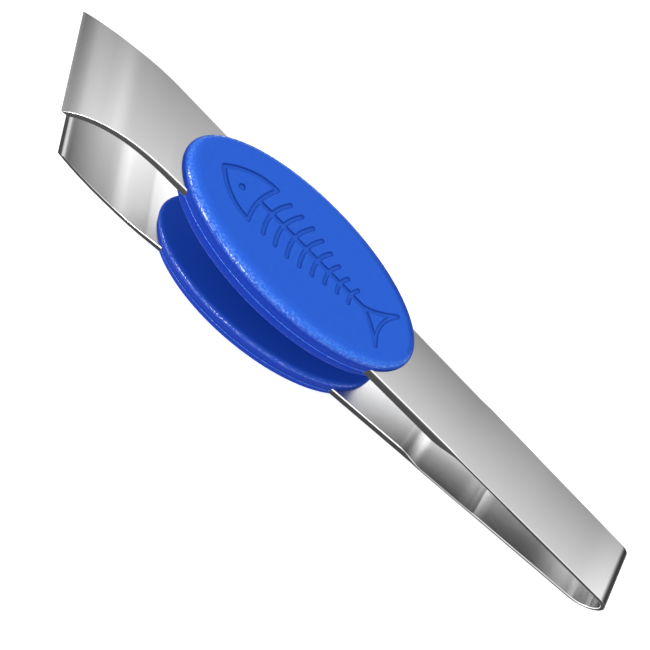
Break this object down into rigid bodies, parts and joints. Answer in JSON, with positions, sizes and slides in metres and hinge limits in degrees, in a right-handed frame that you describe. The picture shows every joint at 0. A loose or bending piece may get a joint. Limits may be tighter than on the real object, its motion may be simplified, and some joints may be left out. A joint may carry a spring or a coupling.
{
  "type": "fish bone tweezers",
  "caption": "Kitchen tweezers for pin bones: a folded steel strip with slanted, in-curved jaws and an oval moulded grip on each arm, squeezed shut against its own spring.",
  "frame": {"origin": "centre of the whole tool's box, on the plane that the two arms mirror in", "axes": "+X from the jaws towards the folded tail, +Z from the lower arm to the upper arm, +Y across the strip towards the longer corner of the slanted jaws"},
  "size_m": [0.15, 0.0238, 0.0318],
  "materials": {
    "strip_steel": "satin steel, finely ground along the strip, with bright rounded edges",
    "grip_plastic": "blue moulded plastic, semi-matt, with a fine grain"
  },
  "bodies": {
    "tail_spring": {"spring_bow": "strip_steel"},
    "upper_side": {"upper_arm": "strip_steel", "upper_grip_outer": "grip_plastic", "upper_grip_inner": "grip_plastic"},
    "lower_side": {"lower_arm": "strip_steel", "lower_grip_outer": "grip_plastic", "lower_grip_inner": "grip_plastic"}
  },
  "joints": [
    {"name": "upper_squeeze", "type": "hinge", "parent": "tail_spring", "child": "upper_side", "pos_m": [0.03683, -0.00021, 0.00681], "axis": [0, -1, 0], "range_deg": [0, 3.86], "stiffness_Nm_per_rad": 2},
    {"name": "lower_squeeze", "type": "hinge", "parent": "tail_spring", "child": "lower_side", "pos_m": [0.03683, -0.00021, -0.00681], "axis": [0, 1, 0], "range_deg": [0, 3.86], "stiffness_Nm_per_rad": 2}
  ],
  "couplings": [
    {"joint": "lower_squeeze", "follows": "upper_squeeze", "ratio": 1}
  ]
}
